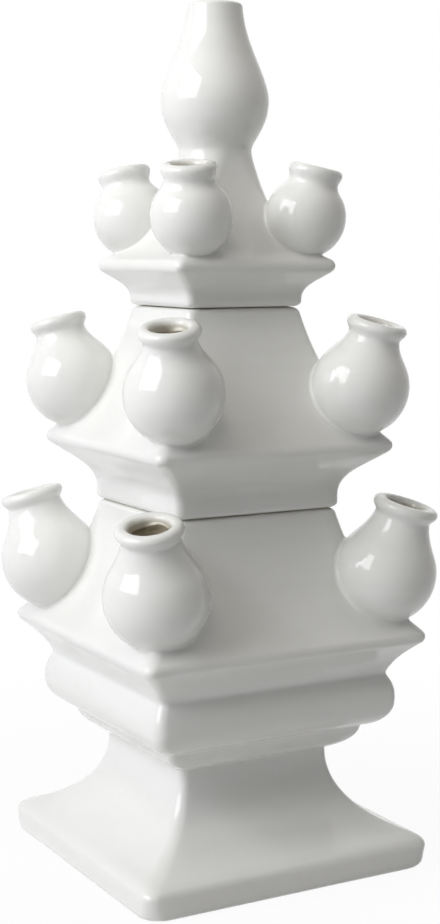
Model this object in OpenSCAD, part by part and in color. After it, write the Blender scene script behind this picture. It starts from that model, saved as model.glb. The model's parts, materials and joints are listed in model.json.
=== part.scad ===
// Tulipiere: a flower pyramid of three stacked square tiers with bulb spouts at their corners.
// Millimetres, +Z up, origin at the centre of the foot's underside, sides along X and Y.

/* [Pottery] */
// Thickness of the tier walls
wall = 5.5; // [4.5:0.1:6.5]
// Thickness of the tier floors
floor_t = 6; // [4:0.5:8]
// Thickness of the spout and neck walls
spout_wall = 4; // [3:0.1:5]
// Gap left for slip between a bulb and its seat in the tier
slip_gap = 0.2; // [0.1:0.05:0.4]
// Gap between stacked tiers at their seam
seam_gap = 0.3; // [0.2:0.05:1]
// Play between a locating ring and the mouth below it
ring_play = 1; // [0.5:0.1:2]
// How far a locating ring reaches into the mouth below it
ring_depth = 9; // [6:0.5:14]
// Thickness of the locating rings
ring_wall = 4.5; // [3:0.5:6]

/* [Pedestal foot] */
// Width of the square foot slab
foot_w = 148.8; // [138:0.2:162]
// Height of the slab's straight side
slab_h = 10; // [7:0.5:13]
// Width of the slab's rounded shoulder
shoulder_w = 9; // [6:0.5:12]
// Height of the slab's rounded shoulder
shoulder_h = 7; // [5:0.5:10]
// Height of the foot, up to its joint with the lower tier
foot_h = 54; // [46:0.5:62]
// Width of the foot at its waist
waist_w = 78.6; // [70:0.2:88]
// Thickness of the foot's wall
foot_wall = 7; // [5:0.5:9]
// Corner radius under the foot slab
base_corner_r = 10.5; // [8:0.5:16]
// Corner radius at the top of the slab's side
slab_corner_r = 6.5; // [4:0.5:12]
// Corner radius at the foot's waist
waist_corner_r = 4; // [2:0.5:8]

/* [Lower tier] */
// Width of the step moulding
step_w = 102.8; // [94:0.2:112]
// Height of the step moulding
step_h = 12.6; // [10:0.2:16]
// Width of the cushion moulding
cushion_w = 127; // [119:0.2:135]
// Height of the cushion moulding
cushion_h = 25; // [20:0.2:30]
// Width at the groove above the cushion
groove_w = 118.8; // [113:0.2:125]
// Width across the lower eave
lower_eave_w = 146.2; // [138:0.2:156]
// Height of the lower eave's tip above the groove
lower_cove_h = 18.4; // [16:0.1:24]
// Height of the lower tier's top above the eave's tip
lower_roof_h = 58.7; // [54:0.1:66]
// Width of the lower tier's top
lower_top_w = 85; // [79:0.2:92]
// Corner radius of the step moulding
step_corner_r = 4; // [2:0.5:8]
// Corner radius of the cushion moulding
cushion_corner_r = 6; // [3:0.5:10]
// Corner radius at the groove
groove_corner_r = 4; // [2:0.5:8]
// Corner radius at the lower eave
lower_eave_corner_r = 5; // [3:0.5:9]
// Corner radius at the lower tier's top
lower_top_corner_r = 4; // [2:0.5:7]
// Width of the lower tier's square mouth
lower_mouth_w = 62; // [54:0.5:68]

/* [Middle tier] */
// Height of the middle tier's collar
middle_collar_h = 6; // [4:0.2:10]
// Width across the middle eave
middle_eave_w = 122.6; // [115:0.2:131]
// Height of the middle eave's tip above the collar
middle_cove_h = 23.6; // [19:0.1:28]
// Height of the middle tier's top above the eave's tip
middle_roof_h = 63; // [58:0.1:70]
// Width of the middle tier's top
middle_top_w = 59.8; // [55:0.2:66]
// Corner radius at the middle eave
middle_eave_corner_r = 4.5; // [3:0.5:8]
// Corner radius at the middle tier's top
middle_top_corner_r = 3.5; // [2:0.5:6]
// Width of the middle tier's square mouth
middle_mouth_w = 38; // [32:0.5:42]

/* [Top tier] */
// Height of the top tier's collar
top_collar_h = 3.4; // [2.6:0.2:6]
// Width across the top eave
top_eave_w = 83.4; // [77:0.2:90]
// Height of the top eave's tip above the collar
top_cove_h = 15.1; // [12:0.1:18]
// Height of the stem's waist above the eave's tip
stem_h = 52.9; // [48:0.1:60]
// Diameter of the stem's waist
stem_waist_d = 33.2; // [30:0.2:37]
// Corner radius at the top eave
top_eave_corner_r = 3.5; // [2:0.5:6]

/* [Bottle neck] */
// Widest diameter of the gourd
gourd_d = 50.2; // [44:0.2:56]
// Height of the gourd's widest point above the waist
gourd_h = 21.4; // [18:0.2:26]
// Height of the mouth above the gourd's widest point
mouth_h = 44.8; // [38:0.2:52]
// Outer diameter at the mouth
mouth_d = 26; // [23:0.2:29]

/* [Lower spouts] */
// Diameter of a lower bulb
lower_bulb_d = 47.6; // [43:0.2:50]
// Diameter of a lower spout's neck
lower_neck_d = 26.2; // [25:0.2:29]
// Diameter of a lower spout's rim
lower_rim_d = 30.4; // [28:0.2:34]
// Diameter of a lower spout's stem hole
lower_hole_d = 18.4; // [14:0.2:19]
// Height of a lower spout's rim above its bulb's centre
lower_rim_h = 34.6; // [31:0.2:38]
// Lean of the lower spouts away from the axis
lower_lean = 16.5; // [8:0.5:22]
// Depth to which a lower bulb is sunk into the tier's ridge
lower_sink = 14.1; // [10:0.1:16]
// Height of a lower bulb's centre above the eave's tip
lower_bulb_z = 29; // [27:0.2:34]
// Turns of the lower spouts off the front, right, back and left corners
lower_turns = [-2, 1.5, 0, 4]; // [-10:0.5:10]

/* [Middle spouts] */
// Diameter of a middle bulb
middle_bulb_d = 44.8; // [41:0.2:47]
// Diameter of a middle spout's neck
middle_neck_d = 24; // [22.6:0.2:26]
// Diameter of a middle spout's rim
middle_rim_d = 27.8; // [26:0.2:31]
// Diameter of a middle spout's stem hole
middle_hole_d = 16.4; // [12:0.2:17]
// Height of a middle spout's rim above its bulb's centre
middle_rim_h = 31; // [27:0.2:34]
// Lean of the middle spouts away from the axis
middle_lean = 15; // [8:0.5:20]
// Depth to which a middle bulb is sunk into the tier's ridge
middle_sink = 9.3; // [5.5:0.1:11]
// Height of a middle bulb's centre above the eave's tip
middle_bulb_z = 27.2; // [26:0.2:34]
// Turns of the middle spouts off the front, right, back and left corners
middle_turns = [1.5, -3, 0, 1.5]; // [-10:0.5:10]

/* [Top spouts] */
// Diameter of a top bulb
top_bulb_d = 37.2; // [34:0.2:40]
// Diameter of a top spout's neck
top_neck_d = 23; // [21.6:0.2:24.2]
// Diameter of a top spout's rim
top_rim_d = 25; // [23.4:0.2:28]
// Diameter of a top spout's stem hole
top_hole_d = 14; // [10:0.2:14.4]
// Height of a top spout's rim above its bulb's centre
top_rim_h = 23.8; // [23:0.2:28]
// Lean of the top spouts away from the axis
top_lean = 12.5; // [6:0.5:18]
// Depth to which a top bulb is sunk into the stem's ridge
top_sink = 5.9; // [4:0.1:9]
// Height of a top bulb's centre above the eave's tip
top_bulb_z = 22; // [19:0.2:25]
// Turns of the top spouts off the front, right, back and left corners
top_turns = [2, 2.5, 10, -8]; // [-10:0.5:10]

/* [Hidden] */

$fn = 64;
GLAZE = "white";
BISCUIT = "linen";
// Places in a tier's list of spouts, and the directions of those corners about the axis
FRONT = 0;
RIGHT = 1;
BACK = 2;
LEFT = 3;
CORNERS = [225, 315, 45, 135];

// Steps along each corner of a section, each curve, each arc, each small edge and each bulb
corner_steps = 6;
curve_steps = 8;
arc_steps = 4;
edge_steps = 2;
bulb_steps = 12;
// Pull of a plain curve towards the angles at its ends, as shares of its span
plain_pull = [0.38, 0.38];
// Rounding of the foot's lower edge, the collars' lower edges, the eave tips and the tiers' top edges
foot_edge_r = 3;
collar_edge_r = 2.4;
tip_r = 3.8;
top_edge_r = 3;
// Slope of the foot where its shoulder ends, and pull of the sweep up to its waist
shoulder_angle = 155;
foot_pull = [0.32, 0.44];
// Slopes of the step at its ends, of the cushion at its ends, and pull of the cushion's lower half
step_angles = [24, 88];
cushion_angles = [2, 128];
cushion_pull = [0.36, 0.38];
// Slope of the lower cove where it leaves the groove
lower_cove_slope = 66;
// Angle at which a cove runs into the eave tip, at which a roof leaves it, and at which it ends
cove_angle = -50;
roof_angle = 44;
roof_end_angle = 14;
// Angle at which the stem leaves its eave tip, its pull, and the bend of its change from square to round
stem_angle = 64;
stem_pull = [0.27, 0.5];
stem_bend = 2.6;
// How much wider a collar is than the top that it sits on, at each side
collar_overhang = 0.5;
// Stretches of roof and cove that the reservoirs follow, short of the solid eave tips and top edges
roof_inside = [0.14, 0.94];
cove_inside = [0, 0.82];
// Corner radius of the square mouths, and the least corner radius inside a wall
mouth_corner_r = 5;
inner_corner_r = 2;
// Least flat left on a side where a section turns round
least_flat = 0.5;
// Height of a spout's flared lip, rounding of its edges and diameter of the drain into the reservoir
lip_h = 7.8;
lip_r = 2.6;
drain_d = 4.4;
// Angle up the bulb at which its shoulder starts, and slope of the shoulder where it meets the lip
bulb_angle = 33;
shoulder_slope = 104;
// Slope of the gourd where it leaves the waist, of the neck where it meets the mouth, and their pulls
gourd_angle = 76;
gourd_pull = [0.18, 0.46];
neck_angle = 94;
neck_pull = [0.28, 0.42];
// Rounding of the bottle neck's mouth and height of its straight bore
mouth_edge_r = 1.6;
mouth_bore_h = 17;

// Heights up the axis
cushion_z = foot_h + step_h;
groove_z = cushion_z + cushion_h;
lower_tip_z = groove_z + lower_cove_h;
lower_top_z = lower_tip_z + lower_roof_h;
middle_z = lower_top_z + seam_gap;
middle_cove_z = middle_z + middle_collar_h;
middle_tip_z = middle_cove_z + middle_cove_h;
middle_top_z = middle_tip_z + middle_roof_h;
top_z = middle_top_z + seam_gap;
top_cove_z = top_z + top_collar_h;
top_tip_z = top_cove_z + top_cove_h;
waist_z = top_tip_z + stem_h;

// Half widths
middle_collar = lower_top_w / 2 + collar_overhang;
top_collar = middle_top_w / 2 + collar_overhang;

// Point at t on a cubic curve with control points p, and points along it
function curve_at(p, t) = pow(1 - t, 3) * p[0] + 3 * t * pow(1 - t, 2) * p[1]
    + 3 * t * t * (1 - t) * p[2] + pow(t, 3) * p[3];
function curve(p, t = [0, 1]) =
    [for (i = [0 : curve_steps]) curve_at(p, t[0] + (t[1] - t[0]) * i / curve_steps)];

// Unit step at an angle, and points on an arc about c
function along(angle) = [cos(angle), sin(angle)];
function arc(c, r, a0, a1, steps = arc_steps) =
    [for (i = [0 : steps]) c + r * along(a0 + (a1 - a0) * i / steps)];

// Curve from p along the angle a to q along the angle b, pulled out by shares of its span
function sweep(p, a, q, b, pull = plain_pull) = let (span = norm(q - p))
    [p, p + pull[0] * span * along(a), q - pull[1] * span * along(b), q];

// Outline moved square to itself, to the left of its run
function shifted(p, d) = let (last = len(p) - 1) [for (i = [0 : last])
    let (run = p[min(i + 1, last)] - p[max(i - 1, 0)], u = run / norm(run)) p[i] + d * [-u[1], u[0]]];

function reversed(p) = [for (i = [len(p) - 1 : -1 : 0]) p[i]];
// Lists run together where the last point of each is the first of the next
function joined(lists) = [for (i = [0 : len(lists) - 1], k = [min(i, 1) : len(lists[i]) - 1]) lists[i][k]];
function end(p) = p[len(p) - 1];
function above(p, z) = [for (q = p) if (q[1] > z) q];

// Sections [half width, height, corner radius] along an outline, with the radii listed by height
function sections(p, radii) = [for (q = p) [q[0], q[1], lookup(q[1], radii)]];
// Sections with the radius going from r0 to r1
function turned(p, r0, r1, bend) = let (z0 = p[0][1], dz = end(p)[1] - z0)
    [for (q = p) [q[0], q[1], r0 + (r1 - r0) * pow((q[1] - z0) / dz, bend)]];

// Corner radius of the inside of a wall
function inside_r(r, t = wall) = max(inner_corner_r, r - t);

// Points of one rounded square section
function ring(s) = let (r = min(s[2], s[0] - least_flat), c = s[0] - r)
    [for (q = [0 : 3], k = [0 : corner_steps]) let (u = r * along(90 * (q + k / corner_steps)))
        [(q == 0 || q == 3 ? c : -c) + u[0], (q < 2 ? c : -c) + u[1], s[1]]];

// Solid through rounded square sections, closed by its end sections or run round into a loop
module loft(s, loop = false) {
    n = 4 * (corner_steps + 1);
    m = len(s);
    sides = [for (i = [0 : loop ? m - 1 : m - 2], k = [0 : n - 1])
        let (a = i * n, b = ((i + 1) % m) * n, j = (k + 1) % n)
        each [[a + k, b + k, b + j], [a + k, b + j, a + j]]];
    ends = loop ? [] : [[for (k = [0 : n - 1]) k], [for (k = [n - 1 : -1 : 0]) (m - 1) * n + k]];
    polyhedron([for (section = s) each ring(section)], concat(sides, ends), convexity = 8);
}

// Rounded tip of an eave, the cove that runs up into it and the roof that leaves it
function tip_centre(tip) = tip - [tip_r, 0];
function tip_arc(tip, leave = roof_angle) = arc(tip_centre(tip), tip_r, cove_angle, leave);
function cove(p, tip, slope = 90) =
    sweep(p, slope, tip_centre(tip) + tip_r * along(cove_angle), cove_angle + 90);
function roof(tip, half, z) = sweep(
    tip_centre(tip) + tip_r * along(roof_angle), roof_angle + 90,
    [half - top_edge_r, z - top_edge_r] + top_edge_r * along(roof_end_angle), roof_end_angle + 90);
function top_edge(half, z) = arc([half - top_edge_r, z - top_edge_r], top_edge_r, roof_end_angle, 90);

// Inside of a roof and a cove, from the top down, one wall in from the outside
function reservoir(roof, cove, floor_z) = above(concat(
    reversed(shifted(curve(roof, roof_inside), wall)),
    reversed(shifted(curve(cove, cove_inside), wall))), floor_z + inner_corner_r);

// Outlines, as [half width, height]
foot_half = foot_w / 2;
waist_half = waist_w / 2;
shoulder_end = [foot_half - shoulder_w, slab_h + shoulder_h];
shoulder = sweep([foot_half, slab_h], 90, shoulder_end, shoulder_angle);
foot_sweep = sweep(shoulder_end, shoulder_angle, [waist_half, foot_h], 90, foot_pull);

step_half = step_w / 2;
cushion_half = cushion_w / 2;
cushion_mid = [cushion_half, (cushion_z + groove_z) / 2];
groove = [groove_w / 2, groove_z];
step_curve = sweep([waist_half, foot_h], step_angles[0], [step_half, cushion_z], step_angles[1]);
cushion_low = sweep([step_half, cushion_z], cushion_angles[0], cushion_mid, 90, cushion_pull);
cushion_high = sweep(cushion_mid, 90, groove, cushion_angles[1]);

lower_tip = [lower_eave_w / 2, lower_tip_z];
lower_cove = cove(groove, lower_tip, lower_cove_slope);
lower_roof = roof(lower_tip, lower_top_w / 2, lower_top_z);

middle_tip = [middle_eave_w / 2, middle_tip_z];
middle_cove = cove([middle_collar, middle_cove_z], middle_tip);
middle_roof = roof(middle_tip, middle_top_w / 2, middle_top_z);

top_tip = [top_eave_w / 2, top_tip_z];
top_cove = cove([top_collar, top_cove_z], top_tip);
top_stem = sweep(tip_centre(top_tip) + tip_r * along(stem_angle), stem_angle + 90,
    [stem_waist_d / 2, waist_z], 90, stem_pull);

// Rounded lower edge of a foot or collar, and square mouth down to the underside of the top
function low_edge(half, z, r) = arc([half - r, z + r], r, -90, 0, edge_steps);
function mouth(w, z) = [[w / 2, z, mouth_corner_r], [w / 2, z - floor_t, mouth_corner_r]];

// Sections of the foot, up its outside and down its inside
foot_sections = concat(
    sections(joined([
        low_edge(foot_half, 0, foot_edge_r),
        [[foot_half, foot_edge_r], [foot_half, slab_h]],
        curve(shoulder), curve(foot_sweep)]),
        [[0, base_corner_r], [slab_h, slab_corner_r], [foot_h, waist_corner_r]]),
    sections(concat(
        reversed(shifted(curve(foot_sweep), foot_wall)), [[foot_half - foot_wall, 0]]),
        [[0, inside_r(base_corner_r, foot_wall)], [foot_h, inside_r(waist_corner_r, foot_wall)]]));

// Sections of each tier, up its outside and down into its reservoir
lower_sections = concat(
    sections(joined([
        curve(step_curve), curve(cushion_low), curve(cushion_high), curve(lower_cove), tip_arc(lower_tip),
        curve(lower_roof), top_edge(lower_top_w / 2, lower_top_z)]), [
        [foot_h, waist_corner_r], [cushion_z, step_corner_r], [cushion_mid[1], cushion_corner_r],
        [groove_z, groove_corner_r], [lower_tip_z, lower_eave_corner_r], [lower_top_z, lower_top_corner_r]]),
    mouth(lower_mouth_w, lower_top_z),
    sections(concat(reservoir(lower_roof, lower_cove, groove_z), [
        [groove[0] - wall, cushion_mid[1]], [step_half - wall, cushion_z], [waist_half, foot_h + floor_t]]), [
        [cushion_z, inside_r(step_corner_r)], [groove_z, inside_r(groove_corner_r)],
        [lower_tip_z, inside_r(lower_eave_corner_r)], [lower_top_z, inside_r(lower_top_corner_r)]]));

middle_sections = concat(
    sections(joined([
        low_edge(middle_collar, middle_z, collar_edge_r),
        [[middle_collar, middle_z + collar_edge_r], [middle_collar, middle_cove_z]],
        curve(middle_cove), tip_arc(middle_tip),
        curve(middle_roof), top_edge(middle_top_w / 2, middle_top_z)]), [
        [middle_z, lower_top_corner_r], [middle_tip_z, middle_eave_corner_r],
        [middle_top_z, middle_top_corner_r]]),
    mouth(middle_mouth_w, middle_top_z),
    sections(concat(reservoir(middle_roof, middle_cove, middle_z + floor_t), [
        [middle_collar - wall - inner_corner_r, middle_z + floor_t]]), [
        [middle_z, inside_r(lower_top_corner_r)], [middle_tip_z, inside_r(middle_eave_corner_r)],
        [middle_top_z, inside_r(middle_top_corner_r)]]));

top_sections = concat(
    joined([
        sections(joined([
            low_edge(top_collar, top_z, collar_edge_r),
            [[top_collar, top_z + collar_edge_r], [top_collar, top_cove_z]],
            curve(top_cove), tip_arc(top_tip, stem_angle)]),
            [[top_z, middle_top_corner_r], [top_tip_z, top_eave_corner_r]]),
        turned(curve(top_stem), top_eave_corner_r, stem_waist_d / 2, stem_bend)]),
    turned(concat([[stem_waist_d / 2 - wall, waist_z]], reservoir(top_stem, top_cove, top_z + floor_t)),
        stem_waist_d / 2 - wall, inner_corner_r, 1 / stem_bend),
    [[top_collar - wall - inner_corner_r, top_z + floor_t, inner_corner_r]]);

// Distance from the axis to the ridge of a roof at a given height
function roof_t(roof, z, lo = 0, hi = 1, n = 24) = let (t = (lo + hi) / 2)
    n == 0 ? t : curve_at(roof, t)[1] < z ? roof_t(roof, z, t, hi, n - 1) : roof_t(roof, z, lo, t, n - 1);
function ridge(roof, z, r) = sqrt(2) * curve_at(roof, roof_t(roof, z))[0] - (sqrt(2) - 1) * r;

// Directions of the spouts of a tier, each a little off its corner, as set by hand
function directions(turns) = CORNERS + turns;

// Heights of the bulbs, and how far they stand from the axis
lower_spout_z = lower_tip_z + lower_bulb_z;
middle_spout_z = middle_tip_z + middle_bulb_z;
top_spout_z = top_tip_z + top_bulb_z;
lower_spout_out = ridge(lower_roof, lower_spout_z, lower_eave_corner_r) + lower_bulb_d / 2 - lower_sink;
middle_spout_out = ridge(middle_roof, middle_spout_z, middle_eave_corner_r) + middle_bulb_d / 2 - middle_sink;
top_spout_out = ridge(top_stem, top_spout_z, top_eave_corner_r) + top_bulb_d / 2 - top_sink;

// Spouts of a tier, and what each place in their list holds
function bulb_r(s) = s[0];
function neck_r(s) = s[1];
function rim_r(s) = s[2];
function hole_r(s) = s[3];
function rim_h(s) = s[4];
function lean(s) = s[5];
function out(s) = s[6];
function bulb_z(s) = s[7];
function direction(s, i) = s[8][i];
lower_spouts = [lower_bulb_d / 2, lower_neck_d / 2, lower_rim_d / 2, lower_hole_d / 2, lower_rim_h,
    lower_lean, lower_spout_out, lower_spout_z, directions(lower_turns)];
middle_spouts = [middle_bulb_d / 2, middle_neck_d / 2, middle_rim_d / 2, middle_hole_d / 2, middle_rim_h,
    middle_lean, middle_spout_out, middle_spout_z, directions(middle_turns)];
top_spouts = [top_bulb_d / 2, top_neck_d / 2, top_rim_d / 2, top_hole_d / 2, top_rim_h,
    top_lean, top_spout_out, top_spout_z, directions(top_turns)];

// Outline of a spout's outside, from its drain round the bulb and up the shoulder to the edge of its lip
function spout_outside(s, gap = 0) = let (
    r = bulb_r(s) + gap,
    neck = [neck_r(s) + gap, rim_h(s) - lip_h])
    joined([
        arc([0, 0], r, -acos(drain_d / 2 / r), bulb_angle, bulb_steps),
        curve(sweep(r * along(bulb_angle), bulb_angle + 90, neck, shoulder_slope)),
        curve(sweep(neck, shoulder_slope, [rim_r(s) + gap, rim_h(s) - lip_r], 90))]);

// Outline of its inside, from the lip down the stem hole and round the bulb to the drain
function spout_inside(s) = let (r = bulb_r(s) - spout_wall)
    concat(arc([hole_r(s) + lip_r, rim_h(s) - lip_r], lip_r, 90, 180),
        arc([0, 0], r, acos(hole_r(s) / r), -acos(drain_d / 2 / r), bulb_steps));

module spout(s) {
    lip = arc([rim_r(s) - lip_r, rim_h(s) - lip_r], lip_r, 0, 90);
    rotate_extrude() polygon(concat(joined([spout_outside(s), lip]), spout_inside(s)));
}

// Space that a bulb takes up in its tier, with the gap for slip
module spout_seat(s) {
    outside = spout_outside(s, slip_gap);
    rotate_extrude() polygon(concat([[0, outside[0][1]]], outside, [[0, end(outside)[1]]]));
}

// Sets a spout out from the axis towards one of its tier's corners and leans it outwards
module at_corner(s, i) {
    rotate([0, 0, direction(s, i)]) translate([out(s), 0, bulb_z(s)]) rotate([0, lean(s), 0]) children();
}

// Tier with a seat for a bulb at each corner
module tier(s, spouts) {
    color(GLAZE) difference() {
        loft(s);
        for (i = [0 : 3]) at_corner(spouts, i) spout_seat(spouts);
    }
}

module corner_spout(s, i) {
    color(GLAZE) at_corner(s, i) spout(s);
}

module lower_tier_body() {
    tier(lower_sections, lower_spouts);
}

module lower_spout(i) {
    corner_spout(lower_spouts, i);
}

module middle_tier_body() {
    tier(middle_sections, middle_spouts);
}

module middle_spout(i) {
    corner_spout(middle_spouts, i);
}

module top_tier_body() {
    tier(top_sections, top_spouts);
}

module top_spout(i) {
    corner_spout(top_spouts, i);
}

module rounded_square(half, r) {
    square(2 * [half, half - r], center = true);
    square(2 * [half - r, half], center = true);
    for (x = [-1, 1], y = [-1, 1]) translate((half - r) * [x, y]) circle(r);
}

// Square lip under a floor, which drops into the mouth of the tier below
module locating_ring(mouth_w, z) {
    half = mouth_w / 2 - ring_play;
    color(BISCUIT) translate([0, 0, z - ring_depth]) linear_extrude(ring_depth) difference() {
        rounded_square(half, mouth_corner_r);
        rounded_square(half - ring_wall, inside_r(mouth_corner_r, ring_wall));
    }
}

module middle_locating_ring() {
    locating_ring(lower_mouth_w, middle_z);
}

module top_locating_ring() {
    locating_ring(middle_mouth_w, top_z);
}

module pedestal_foot() {
    color(GLAZE) loft(foot_sections, loop = true);
}

module bottle_neck() {
    waist_r = stem_waist_d / 2;
    gourd_r = gourd_d / 2;
    mouth_r = mouth_d / 2;
    bore_r = mouth_r - spout_wall;
    top = gourd_h + mouth_h;
    outside = joined([
        curve(sweep([waist_r, 0], gourd_angle, [gourd_r, gourd_h], 90, gourd_pull)),
        curve(sweep([gourd_r, gourd_h], 90, [mouth_r, top - mouth_edge_r], neck_angle, neck_pull)),
        arc([mouth_r - mouth_edge_r, top - mouth_edge_r], mouth_edge_r, 0, 90)]);
    inside = concat(
        arc([bore_r + mouth_edge_r, top - mouth_edge_r], mouth_edge_r, 90, 180),
        curve(sweep([bore_r, top - mouth_bore_h], 270, [gourd_r - spout_wall, gourd_h], 270)),
        curve(sweep([gourd_r - spout_wall, gourd_h], 270, [waist_r - wall, 0], 270)));
    color(GLAZE) translate([0, 0, waist_z]) rotate_extrude() polygon(concat(outside, inside));
}

pedestal_foot();
lower_tier_body();
lower_spout(FRONT);  // lower_spout_front
lower_spout(RIGHT);  // lower_spout_right
lower_spout(BACK);  // lower_spout_back
lower_spout(LEFT);  // lower_spout_left
middle_tier_body();
middle_locating_ring();
middle_spout(FRONT);  // middle_spout_front
middle_spout(RIGHT);  // middle_spout_right
middle_spout(BACK);  // middle_spout_back
middle_spout(LEFT);  // middle_spout_left
top_tier_body();
top_locating_ring();
top_spout(FRONT);  // top_spout_front
top_spout(RIGHT);  // top_spout_right
top_spout(BACK);  // top_spout_back
top_spout(LEFT);  // top_spout_left
bottle_neck();
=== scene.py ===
"""Looks of the tulipiere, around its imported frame.

Outlines are drawn in millimetres on the sizes of the solids. Meshes are made in metres.
"""

import json
from collections import namedtuple
from math import acos, ceil, degrees, pi, radians, sqrt

import bmesh
import bpy
import numpy as np
from mathutils import Matrix, Vector

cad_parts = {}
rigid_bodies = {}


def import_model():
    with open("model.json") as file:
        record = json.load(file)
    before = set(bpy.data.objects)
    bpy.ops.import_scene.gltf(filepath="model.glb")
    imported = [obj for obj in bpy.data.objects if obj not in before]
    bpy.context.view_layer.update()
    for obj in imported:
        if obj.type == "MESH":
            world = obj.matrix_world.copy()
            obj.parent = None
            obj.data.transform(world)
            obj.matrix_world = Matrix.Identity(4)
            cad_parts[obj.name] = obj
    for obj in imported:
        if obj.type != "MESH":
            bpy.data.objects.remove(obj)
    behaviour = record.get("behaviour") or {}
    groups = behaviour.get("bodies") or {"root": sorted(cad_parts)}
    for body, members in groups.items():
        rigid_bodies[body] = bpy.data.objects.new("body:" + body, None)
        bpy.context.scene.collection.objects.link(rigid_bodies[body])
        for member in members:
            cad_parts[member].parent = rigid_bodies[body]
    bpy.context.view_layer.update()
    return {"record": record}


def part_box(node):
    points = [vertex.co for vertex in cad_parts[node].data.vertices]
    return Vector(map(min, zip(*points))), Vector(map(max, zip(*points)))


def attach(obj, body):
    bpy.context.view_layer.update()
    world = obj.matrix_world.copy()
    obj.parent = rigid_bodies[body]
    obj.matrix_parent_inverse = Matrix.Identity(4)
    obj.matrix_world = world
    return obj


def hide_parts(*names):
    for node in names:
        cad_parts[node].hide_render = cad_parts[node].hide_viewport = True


MM = 0.001
for default in list(bpy.data.objects):
    bpy.data.objects.remove(default)
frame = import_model()
mounts = {mount["name"]: mount for mount in frame["record"]["mounts"]}


def top_of(node):
    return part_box(node)[1].z / MM


def bottom_of(node):
    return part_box(node)[0].z / MM


def half_width(node):
    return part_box(node)[1].x / MM


# Camera of the photograph, fitted to the foot, the eaves and the top
IMAGE_H = 924
FOCAL_PX = 1699.0
SENSOR_H = 24.0
CAMERA_AT = (-0.3881, -0.6967, 0.2877)
CAMERA_TURN = -29.29
CAMERA_DIP = 7.12

# Walls and joints
WALL = 5.5
FLOOR_T = 6.0
SPOUT_WALL = 4.0
RING_WALL = 4.5
RING_EDGE_R = 0.9
DRAIN_R = 2.2
MOUTH_CORNER_R = 5.0
INNER_CORNER_R = 2.0
LEAST_FLAT = 0.5

# Pedestal foot
FOOT_HALF = half_width("pedestal_foot")
FOOT_H = top_of("pedestal_foot")
FOOT_EDGE_R = 3.0
SLAB_H = 10.0
SHOULDER_W = 9.0
SHOULDER_H = 7.0
SHOULDER_ANGLE = 155
FOOT_PULL = (0.32, 0.44)
WAIST_HALF = 39.3
FOOT_WALL = 7.0
BASE_CORNER_R = 10.5
SLAB_CORNER_R = 6.5
WAIST_CORNER_R = 4.0

# Mouldings of the lower tier
STEP_HALF = 51.4
CUSHION_HALF = 63.5
GROOVE_HALF = 59.4
STEP_CORNER_R = 4.0
CUSHION_CORNER_R = 6.0
GROOVE_CORNER_R = 4.0
CUSHION_Z = FOOT_H + 12.6
GROOVE_Z = CUSHION_Z + 25.0
STEP_ANGLES = (24, 88)
CUSHION_ANGLES = (2, 128)
CUSHION_PULL = (0.36, 0.38)

# Eaves and roofs
PLAIN_PULL = (0.38, 0.38)
TIP_R = 3.8
TOP_EDGE_R = 3.0
COLLAR_EDGE_R = 2.4
COVE_ANGLE = -50
LOWER_COVE_SLOPE = 66
ROOF_ANGLE = 44
ROOF_END_ANGLE = 14
LOWER_COVE_H = 18.4
MIDDLE_COLLAR_H = 6.0
MIDDLE_COVE_H = 23.6
TOP_COLLAR_H = 3.4
TOP_COVE_H = 15.1
LOWER_TOP_HALF = 42.5
MIDDLE_TOP_HALF = 29.9
COLLAR_OVERHANG = 0.5
LOWER_EAVE_R = 5.0
LOWER_TOP_R = 4.0
MIDDLE_EAVE_R = 4.5
MIDDLE_TOP_R = 3.5
TOP_EAVE_R = 3.5
LOWER_MOUTH_HALF = 31.0
MIDDLE_MOUTH_HALF = 19.0
ROOF_INSIDE = (0.14, 0.94)
COVE_INSIDE = (0.0, 0.82)

# Stem and bottle neck
STEM_ANGLE = 64
STEM_PULL = (0.27, 0.5)
STEM_BEND = 2.6
STEM_R = 16.6
WAIST_Z = top_of("top_tier_body")
GOURD_R = 25.1
GOURD_H = 21.4
GOURD_ANGLE = 76
GOURD_PULL = (0.18, 0.46)
NECK_ANGLE = 94
NECK_PULL = (0.28, 0.42)
NECK_MOUTH_R = 13.0
NECK_MOUTH_Z = top_of("bottle_neck")
NECK_EDGE_R = 1.6
NECK_BORE_H = 17.0

# Spouts of each tier: bulb, neck and rim radius, rim height, and how far slip blends a bulb into its
# tier
Spouts = namedtuple("Spouts", "tier bulb_r neck_r rim_r rim_h blend")
SPOUTS = {
    "lower": Spouts("lower", 23.8, 13.1, 15.2, 34.6, 1.8),
    "middle": Spouts("middle", 22.4, 12.0, 13.9, 31.0, 1.8),
    "top": Spouts("top", 18.6, 11.5, 12.5, 23.8, 1.5),
}
CORNERS = ("front", "right", "back", "left")
LIP_H = 7.8
LIP_R = 2.6
BULB_ANGLE = 33
SHOULDER_SLOPE = 104
DRAIN_START = -60

# Slip round a bulb. Its rise over the bulb is looked for up to a share of the blend, at polar angles in
# degrees. It starts at a rise in millimetres, ends at a share of the blend, and is tucked into the wall.
SLIP_REACH = 2.5
SLIP_FREE = 1e-9
POLAR_STEP = 0.5
LOWEST_POLAR = 176
SLIP_FROM = 0.02
SLIP_TO = 0.95
TUCK_DEPTH = 2.2

# Edge cut inside a mouth, with waves as (share, number round it, share of the seed), and uneven lips
CUT_BELOW_RIM = 5.0
CUT_REACH = 1.4
CUT_DEPTH = 0.6
CUT_BITES = ((0.6, 3, 1), (0.3, 7, 2))
CUT_WAVE = 0.8
CUT_RISES = ((1, 2, 1.7), (0.5, 5, 1))
LIP_TILT = 1.0
TILT_TURN = 2.4
LIP_OVAL = 0.012

# How far glaze rounds off creases
CREASE_BLUR = 0.45
STEP_BLUR = 1.0
WAIST_BLUR = 2.2
NECK_BLUR = 0.4
INSIDE_BLUR = 1.0

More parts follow.
